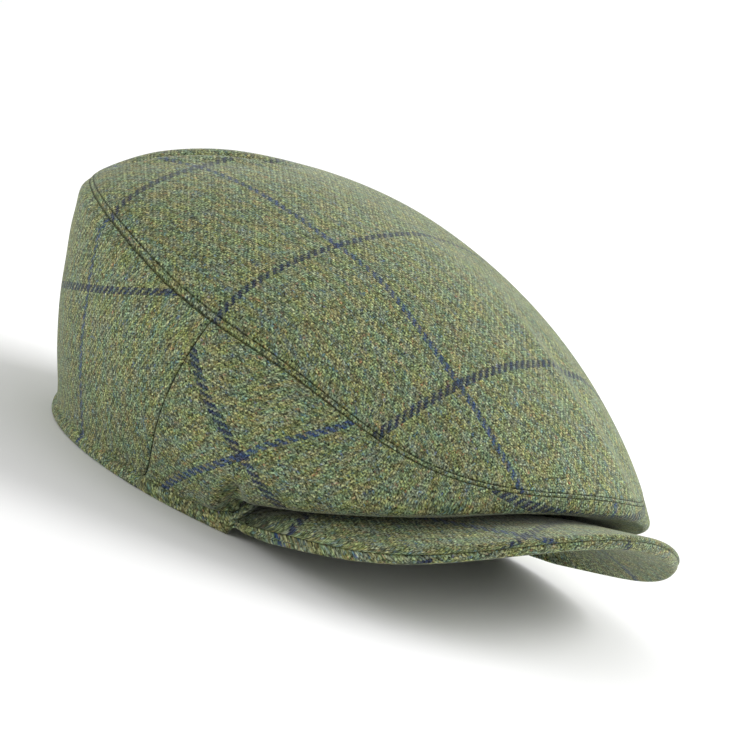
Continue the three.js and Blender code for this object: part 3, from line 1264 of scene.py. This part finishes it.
@dataclass
class Crown:
    """The cap's crown: a top panel and two side panels, sewn together."""

    form: CapForm
    unrolling: Unrolling
    cloth: float = 2.0
    seam_wall: float = 0.3
    seam_wall_width: float = 3.0
    seam: Ditch = Ditch()
    foot: Ditch = Ditch(0.2, 0.35, 0.2, 1.3)
    tuck: Ditch = Ditch(2.8, 2.6, 3.6, 6.5)
    side_seam: Ditch = Ditch(0.5, 0.35, 0.25, 1.5)
    side_seam_tint: Colour = linear(128, 128, 110)
    side_seam_ends: Pair = (0.05, 0.46)
    top_columns: int = 180
    top_stripes: Pair = (-50.5, -17.0)
    top_flat_size: Pair = (232.0, 292.0)
    top_flat_area: float = 42200.0
    top_grain: float = math.radians(7.5)
    top_pull_u: Swell = Swell(4.2, -33.0, 24.0)
    top_pull_v: Swell = Swell(1.7, -15.0, 35.0)
    top_hold: int = 14
    middle: float = 1e-6
    run_stops: int = 48
    slope_ring: Pair = (0.955, 0.995)
    stitch_groove: Swell = Swell(0.3, TOPSTITCH_OFFSET, 0.35)
    top_relief: TopRelief = TopRelief()
    rows: int = 84
    rounds: int = 3
    side_reach: float = 95.0
    foot_offset: float = 0.25
    peak_fade: Pair = (math.radians(54.5), math.radians(58.5))
    # Painted shade: how far up from the foot the shade painted into the crease over the peak
    # reaches.
    crease_fade: Pair = (4.0, 24.0)
    side_relief: SideRelief = SideRelief()

    def build(self) -> None:
        """Builds the three panels."""
        self._top_panel()
        self._side_panel(FRONT_PANEL)
        self._side_panel(BACK_PANEL)

    def _wall(self, distance: Array) -> Array:
        """Returns how much of its thickness the cloth keeps at a distance from a seam."""
        full = smoothstep(distance, 0.0, self.seam_wall_width)
        return self.seam_wall + (1 - self.seam_wall) * full

    def _run(self, start: Array, end: Array) -> Array:
        """Measures the top panel's surface between points of the plan.

        Args:
            start: where each line starts.
            end: where it ends.

        Returns:
            The length of each line over the dome.
        """
        shares = np.linspace(0.0, 1.0, self.run_stops)
        x, y = lerp(start[:, None, :], end[:, None, :], shares[None, :, None]).transpose(2, 0, 1)
        angle = np.arctan2(-x, -y)
        share = np.hypot(x, y) / self.form.at("seam_reach", angle)
        z = self.form.top(np.minimum(share, 1.0), angle)[..., 2]
        steps = np.diff(np.stack([x, y, z], axis=-1), axis=1)
        return np.linalg.norm(steps, axis=-1).sum(axis=1)

    def _top_cloth(self, x: Array, y: Array) -> Array:
        """Lays points of the top panel on the flat cloth.

        Args:
            x: the points' places to the wearer's left in the plan.
            y: their places towards the back.

        Returns:
            A pair of coordinates on the cloth for each point.
        """
        c, s = math.cos(self.top_grain), math.sin(self.top_grain)
        p, q = x * c + y * s, y * c - x * s
        here = np.stack([x, y], axis=-1)
        on_length = np.stack([-q * s, q * c], axis=-1)
        on_cross = np.stack([p * c, p * s], axis=-1)
        u = np.sign(p) * self._run(on_length, here)
        v = np.sign(q) * self._run(on_cross, here)
        u = u - self.top_pull_u.at(v)
        return np.stack([u, v - self.top_pull_v.at(v)], axis=-1)

    def _disc(self, u: Array, v: Array) -> tuple[Array, Array]:
        """Draws a square grid out to a disc.

        Args:
            u: the place across the grid, from 0 to 1.
            v: the place along it.

        Returns:
            Each corner's share of the way out, and its angle from the front.
        """
        a, b = 2 * u - 1, 2 * v - 1
        is_wide = np.abs(a) >= np.abs(b)
        ring = np.maximum(np.abs(a), np.abs(b))
        corner = np.where(is_wide, b, a) / np.maximum(ring, TINY) * math.pi / 4
        bearing = np.where(
            is_wide,
            np.where(a > 0, corner, math.pi - corner),
            np.where(b > 0, math.pi / 2 - corner, -math.pi / 2 + corner),
        )
        return ring, turned(-math.pi / 2 - bearing)

    def _top_panel(self) -> None:
        """Builds the oval top panel from a square grid drawn out to the seam."""
        finish = Tweed("top_tweed", *self.top_stripes, Stitch.TOPSTITCH)
        sheet = Sheet("top_panel", self.cloth, finish, self.top_flat_size, self.top_flat_area)
        count = self.top_columns
        grid, u, v = sheet.start(count, count)
        ring, angle = self._disc(u, v)
        reach = self.form.at("seam_reach", angle)
        half = reach * self._edge_slope(angle)
        distance = spaced(0.5 + ring / 2, count, 2 * half)
        from_seam = 2 * half - distance
        share = np.where(ring < self.middle, 0.0, np.clip(1 - from_seam / half, 0.0, 1.0))
        points = self.form.top(share, angle)
        x, y = points[:, 0], points[:, 1]
        cloth = self._top_cloth(x, y)
        points[:, 2] += self.top_relief.off(x, y) * (1 - share**self.top_hold)
        points = points + self.form.mitre(angle) * self.seam.fall(from_seam)[:, None]
        points[:, 2] -= self.stitch_groove.at(from_seam)
        edge = np.stack([angle * reach, from_seam], axis=-1)
        sheet.shape(grid, self.form.in_frame(points), cloth, edge, points - CORE)
        sheet.finish_off(grid, self._wall(from_seam))

    def _edge_slope(self, angle: Array) -> Array:
        """Finds how much longer the top's surface is than its plan, near the seam.

        Args:
            angle: the angles to find it at.

        Returns:
            The length of the surface for each millimetre of the plan.
        """
        inner, outer = (
            self.form.top(np.full_like(angle, share), angle) for share in self.slope_ring
        )
        plan = (self.slope_ring[1] - self.slope_ring[0]) * self.form.at("seam_reach", angle)
        return np.linalg.norm(outer - inner, axis=-1) / plan

    def _side_panel(self, panel: SidePanel) -> None:
        """Builds one of the two side panels.

        Args:
            panel: which one it is.
        """
        form = self.form
        finish = Tweed(
            f"{panel.side.value}_tweed",
            *panel.stripes,
            is_creased=panel.side is Side.FRONT,
            seam_tint=self.side_seam_tint,
            seam_ends=self.side_seam_ends,
        )
        node = f"{panel.side.value}_side_panel"
        sheet = Sheet(node, self.cloth, finish, panel.flat_size, panel.flat_area)
        grid, u, v = sheet.start(panel.columns, self.rows)
        start, end = self._ends(form.seam_at_rim, panel.side)
        width = (end - start) * self.side_reach
        place = spaced(u, panel.columns, np.full_like(u, width))
        share = place / width
        angle = start + share * (end - start)
        # The seam leans, so a corner's angle and its height settle in a few rounds.
        for _ in range(self.rounds):
            length = self.unrolling.length_at(angle)
            arc = spaced(v, self.rows, length)
            up = self.unrolling.up_at(arc, angle)
            first, last = self._ends(form.side_seam(up), panel.side)
            angle = first + share * (last - first)
        from_end = np.minimum(place, width - place)
        from_seam = length - arc
        over_peak = fade(np.abs(turned(angle)), *self.peak_fade)
        fall = self.side_seam.fall(from_end) + self.foot.fall(arc)
        fall += over_peak * self.tuck.fall(arc)
        points = form.side(up, angle)
        normal = form.normal(form.side, up, angle)
        points = points + normal * (self.side_relief.off(up, angle) - fall)[:, None]
        points = points + form.mitre(angle) * self.seam.fall(from_seam)[:, None]
        nearest = np.minimum(np.minimum(from_end, from_seam), arc + self.foot_offset)
        cloth = self.unrolling.cloth(arc, angle, panel.side)
        edge = np.stack([place, nearest], axis=-1)
        # Painted shade mask: strongest at the front panel's foot over the peak, fading upwards.
        crease = over_peak * fade(arc, *self.crease_fade)
        sheet.shape(grid, form.in_frame(points), cloth, edge, points - CORE, crease)
        sheet.finish_off(grid, self._wall(nearest))

    def _ends(self, seam: Array, side: Side) -> tuple[Array, Array]:
        """Returns the angles between which a side panel lies, from the side seam's angle."""
        return (-seam, seam) if side is Side.FRONT else (seam, 2 * math.pi - seam)


@dataclass
class Hem:
    """The cloth turned up round the rim, from temple to temple round the back."""

    form: CapForm
    unrolling: Unrolling
    columns: int = 480
    rows: int = 30
    layer: float = 1.0
    flat_size: Pair = (10.0, 398.0)
    flat_area: float = 3980.0
    stripes: Pair = BACK_PANEL.stripes
    front_shift: Pair = (13.8, 33.4)
    reach: float = 92.0
    top_lap: float = 1.0
    top_tuck: float = 0.9
    tuck_width: float = 0.9
    swell: float = 0.6
    swell_ends: Pair = (0.6, 2.6)
    end_overlap: float = math.radians(3.5)
    end_lean: float = math.radians(2.6)
    lean_share: float = 0.42
    end_round: float = 6.0
    end_curl: float = 4.2
    end_lift: float = 2.2
    lump: Swell = Swell(1.4, 4.0, 5.0)
    lump_down: Swell = Swell(1.0, 2.5, 3.5)
    seam_clear: float = 3.0

    def build(self) -> None:
        """Builds the hem as one folded strip."""
        form = self.form
        finish = Tweed("hem_tweed", *self.stripes)
        sheet = Sheet("rim_hem", self.layer, finish, self.flat_size, self.flat_area)
        grid, u, v = sheet.start(self.columns, self.rows)
        radius = form.hem_thickness / 2
        first = form.temple - self.end_overlap - self.end_lean * fade(v, 0.0, self.lean_share)
        angle = lerp(first, 2 * math.pi - first, u)
        height = form.seat(angle) + self.top_lap
        straight = height - radius
        half_turn = math.pi * radius
        path = v * (2 * straight + half_turn)
        down = np.minimum(path, straight)
        turn = np.clip((path - straight) / radius, 0.0, math.pi)
        rise = np.maximum(path - straight - half_turn, 0.0)
        from_end = np.minimum(angle - first, 2 * math.pi - first - angle) * self.reach
        closing = np.maximum(1 - from_end / self.end_round, 0.0)
        swelling = self.swell * smoothstep(path, *self.swell_ends)
        swelling -= self.top_tuck * bell(path, self.tuck_width)
        curl = self.end_curl * (1 - np.sqrt(1 - np.minimum(closing, 1.0) ** 2))
        lump = self.lump.at(from_end) * self.lump_down.at(path)
        inset = radius * (1 - np.cos(turn))
        inset += np.where(turn < math.pi / 2, curl - swelling - lump, 0.0)
        rim = form.rim(angle)
        z = height - down - radius * np.sin(turn) + rise + self.end_lift * closing**2
        points = polar(np.hypot(rim[:, 0], rim[:, 1]) - inset, angle, z + rim[:, 2])
        edge = np.stack([angle * self.reach, np.full_like(path, self.seam_clear)], axis=-1)
        outward = np.where(turn > math.pi / 2, -1.0, 1.0)[:, None] * (points - CORE)
        outward[:, 2] = 0.0
        sheet.shape(grid, form.in_frame(points), self._cloth(angle, path), edge, outward)
        sheet.finish_off(grid, np.ones_like(u))

    def _cloth(self, angle: Array, path: Array) -> Array:
        """Lays points of the hem on the cloth, which runs on from the panels above it.

        Args:
            angle: the angle of each point.
            path: the length of cloth from the hem's top to each point.

        Returns:
            A pair of coordinates on the cloth for each point.
        """
        foot = np.zeros_like(angle)
        front, back = (self.unrolling.cloth(foot, angle, side) for side in Side)
        in_front = np.abs(turned(angle)) < self.form.seam_at_rim
        cloth = np.where(in_front[:, None], front + np.array(self.front_shift), back)
        cloth[:, 1] -= path
        return cloth


class Layer(Enum):
    """The two cloths of the peak."""

    UPPER = "peak_top"
    LOWER = "peak_under"


@dataclass(frozen=True)
class PeakCloth:
    """What sets one of the peak's cloths apart from the other."""

    layer: Layer
    stripes: Pair
    grain: float
    flat_area: float
    rests_on: str


PEAK_CLOTHS = (
    PeakCloth(Layer.UPPER, (-80.5, -111.0), math.radians(20.0), 10200.0, "peak_under"),
    PeakCloth(Layer.LOWER, (86.2, 30.0), math.radians(-12.5), 10800.0, "rim_hem"),
)


@dataclass
class Peak:
    """The peak: two cloths over a stiff board, seamed along the edge."""

    form: CapForm
    columns: int = 260
    rows: int = 64
    flat_size: Pair = (190.0, 100.0)
    crowding: float = 0.96
    hidden: float = 0.05
    edge_share: float = 0.78
    edge_radius: float = 2.3
    edge_most: float = 0.7
    edge_drop: float = 1.4
    seam: Ditch = Ditch(0.5, 0.5, 0.0, 1.0)
    seam_height: float = 0.6
    seam_wall: float = 0.35
    seam_wall_width: float = 4.0
    groove: Swell = Swell(2.9, 0.0, 6.5)
    swell: float = 0.9
    swell_ends: Pair = (2.0, 14.0)
    sag: float = 0.8
    sag_window: Window = (0.4, 0.75, 0.9, 1.0)
    tip_rise: float = 1.6
    tip_ends: Pair = (0.955, 0.995)
    # Painted shade: how far out from the rim the shade painted into the crease under the crown
    # reaches.
    crease_fade: Pair = (5.0, 20.0)
    half_length: float = 110.0
    layer: float = 2.0

    def build(self) -> None:
        """Builds both cloths."""
        for cloth in PEAK_CLOTHS:
            self._cloth(cloth)

    def _cloth(self, kind: PeakCloth) -> None:
        """Builds one of the peak's cloths, from under the crown out to the edge's seam.

        Args:
            kind: which of the two.
        """
        form = self.form
        node = kind.layer.value
        is_upper = kind.layer is Layer.UPPER
        finish = Tweed(f"{node}_tweed", *kind.stripes, is_creased=is_upper)
        sheet = Sheet(node, self.layer, finish, self.flat_size, kind.flat_area)
        grid, u, v = sheet.start(self.columns, self.rows)
        widest = math.pi / 2 * self.crowding
        across = np.sin((2 * u - 1) * widest) / math.sin(widest)
        edge = form.peak_edge(across)
        out = edge - form.rim(across * form.temple)
        depth = np.linalg.norm(out, axis=-1)
        radius = np.minimum(self.edge_radius, self.edge_most * depth)
        full = 1 - radius / depth
        inner = np.minimum(v / self.hidden, 1.0) - 1.0
        outer = np.clip((v - self.hidden) / (self.edge_share - self.hidden), 0.0, 1.0)
        along = inner + outer * full
        turn = np.clip((v - self.edge_share) / (1 - self.edge_share), 0.0, 1.0) * math.pi / 2
        from_seam = (math.pi / 2 - turn) * radius + np.maximum(full - along, 0.0) * depth
        from_rim = np.maximum(along, 0.0) * depth
        height = form.peak_thickness * form.peak_rise(along, across)
        if is_upper:
            face = height - self.groove.at(from_rim)
        else:
            face = -self.swell * smoothstep(from_rim, *self.swell_ends)
        plan = form.peak_face(along, across)
        reach = radius * np.sin(turn) - self.seam.fall(from_seam)
        points = plan + unit(out) * reach[:, None]
        points[:, 2] += lerp(self.seam_height * height, face, np.cos(turn))
        side = np.abs(across)
        points[:, 2] -= self.sag * window(side, *self.sag_window)
        points[:, 2] += self.tip_rise * smoothstep(side, *self.tip_ends)
        around = radius * turn + self.edge_drop * (1 - np.cos(turn))
        x, y = (plan[:, :2] + unit(out[:, :2]) * around[:, None]).T
        c, s = math.cos(kind.grain), math.sin(kind.grain)
        p, q = x * c + y * s, y * c - x * s
        cloth = np.stack([p, q] if is_upper else [-q, p], axis=-1)
        border = np.stack([across * self.half_length, from_seam], axis=-1)
        outward = np.zeros_like(points)
        outward[:, 2] = 1.0 if is_upper else -1.0
        # Painted shade mask: strongest at the peak's root under the crown, fading outwards.
        crease = fade(from_rim, *self.crease_fade)
        sheet.shape(grid, form.in_frame(points), cloth, border, outward, crease)
        full_wall = smoothstep(from_seam, 0.0, self.seam_wall_width)
        wall = self.seam_wall + (1 - self.seam_wall) * full_wall
        sheet.finish_off(grid, wall)


@dataclass(frozen=True)
class SoftBox:
    """One large soft light, turned towards the cap."""

    name: str
    place: Place
    size: float
    energy: float
    aim: Place = (0.0, 0.0, 0.05)

    def stand(self) -> None:
        """Stands the light in its place."""
        data = bpy.data.lights.new(self.name, "AREA")
        data.shape = "SQUARE"
        data.size = self.size
        data.energy = self.energy
        lamp = bpy.data.objects.new(self.name, data)
        bpy.context.scene.collection.objects.link(lamp)
        lamp.location = self.place
        aim = Vector(self.aim) - lamp.location
        lamp.rotation_euler = aim.to_track_quat("-Z", "Y").to_euler()


@dataclass
class Studio:
    """The camera, the floor and the light. The camera is in millimetres, the rest in metres."""

    form: CapForm
    azimuth: float = math.radians(-48.96)
    elevation: float = math.radians(9.96)
    roll: float = math.radians(19.97)
    distance: float = 937.0
    pixels_per_mm: float = 2.776
    aim_right: float = 26.74
    aim_up: float = 46.07
    picture: float = 732.0
    film: float = 36.0
    sight: float = 200.0
    room: float = 0.55
    floor_colour: Colour = (0.86, 0.86, 0.86)
    floor_rows: int = 60
    floor_near: float = -4.0
    floor_far: float = 12.0
    floor_aside: float = 9.0
    wall: float = 2.5
    wall_bend: float = 2.0
    backdrop: float = 0.42
    backdrop_ends: Pair = (0.9, 3.0)
    backdrop_top: Pair = (1.6, 3.2)
    lights: tuple[SoftBox, ...] = (
        SoftBox("top_box", (0.5, 0.1, 2.0), 2.4, 8.0),
        SoftBox("left_box", (-1.7, 0.9, 0.4), 1.4, 22.0),
        SoftBox("right_box", (1.6, -0.8, 1.1), 1.4, 56.0),
    )

    def build(self) -> None:
        """Sets up the whole studio."""
        self._camera()
        self._floor()
        self._light()
        bpy.context.scene.view_settings.view_transform = "Standard"

    def _camera(self) -> None:
        """Stands the camera where the cap is seen from."""
        a, e, r = self.azimuth, self.elevation, self.roll
        back = Vector((math.sin(a) * math.cos(e), -math.cos(a) * math.cos(e), math.sin(e)))
        level = Vector((math.cos(a), math.sin(a), 0.0))
        upright = back.cross(level)
        right = math.cos(r) * level + math.sin(r) * upright
        up = math.cos(r) * upright - math.sin(r) * level
        place = self.aim_right * right + self.aim_up * up + self.distance * back
        data = bpy.data.cameras.new("camera")
        data.sensor_width = self.film
        data.lens = self.pixels_per_mm * self.distance / self.picture * self.film
        data.clip_end = self.sight
        camera = bpy.data.objects.new("camera", data)
        bpy.context.scene.collection.objects.link(camera)
        turn = Matrix((right, up, back)).transposed().to_4x4()
        shifted = (place + Vector((0.0, self.form.shift, 0.0))) * MM
        camera.matrix_world = Matrix.Translation(shifted) @ turn
        bpy.context.scene.camera = camera

    def _floor(self) -> None:
        """Lays a plain pale floor that curves up into a lit wall far behind the cap."""
        bpy.ops.object.select_all(action="DESELECT")
        bpy.ops.mesh.primitive_grid_add(
            x_subdivisions=2, y_subdivisions=self.floor_rows, size=2.0
        )
        floor = bpy.context.object
        floor.name = "floor"
        away = Vector((-math.sin(self.azimuth), math.cos(self.azimuth), 0.0))
        aside = Vector((away.y, -away.x, 0.0))
        for vertex in floor.data.vertices:
            run = lerp(self.floor_near, self.floor_far, (vertex.co.y + 1) / 2)
            bend = min(max((run - self.wall) / self.wall_bend, 0.0), math.pi / 2)
            flat = min(run, self.wall) + self.wall_bend * math.sin(bend)
            rise = self.wall_bend * (1 - math.cos(bend))
            rise += max(run - self.wall - self.wall_bend * math.pi / 2, 0.0)
            sideways = aside * vertex.co.x * self.floor_aside
            vertex.co = away * flat + sideways + Vector((0.0, 0.0, rise))
        bpy.ops.object.shade_smooth()
        floor.data.materials.append(self._pale())

    def _pale(self) -> bpy.types.Material:
        """Builds the floor's finish, which glows softly where it stands far from the cap.

        Returns:
            The finished material.
        """
        shader = Shader("pale_floor")
        place = shader.node("ShaderNodeTexCoord", {}, out="Object")
        far = shader.node("ShaderNodeVectorMath", {"operation": "LENGTH"}, place, out="Value")
        height = shader.part(place, "Z")
        lit = far.smooth(*self.backdrop_ends) * (1.0 - height.smooth(*self.backdrop_top))
        shader.finish(
            {
                "Base Color": (*self.floor_colour, 1.0),
                "Roughness": 1.0,
                "Specular IOR Level": 0.0,
                "Emission Strength": self.backdrop,
                "Emission Color": shader.vector(lit, lit, lit),
            }
        )
        return shader.material

    def _light(self) -> None:
        """Stands three large soft lights round the cap in a pale room."""
        world = bpy.data.worlds.new("pale_room")
        world.use_nodes = True
        background = world.node_tree.nodes["Background"]
        background.inputs["Color"].default_value = (1.0, 1.0, 1.0, 1.0)
        background.inputs["Strength"].default_value = self.room
        bpy.context.scene.world = world
        for light in self.lights:
            light.stand()


def main() -> None:
    """Builds the cap and its studio."""
    logging.basicConfig(level=logging.INFO, format="%(message)s")
    form = CapForm()
    unrolling = Unrolling(form)
    Crown(form, unrolling).build()
    Hem(form, unrolling).build()
    Peak(form).build()
    Studio(form).build()


if __name__ == "__main__":
    main()
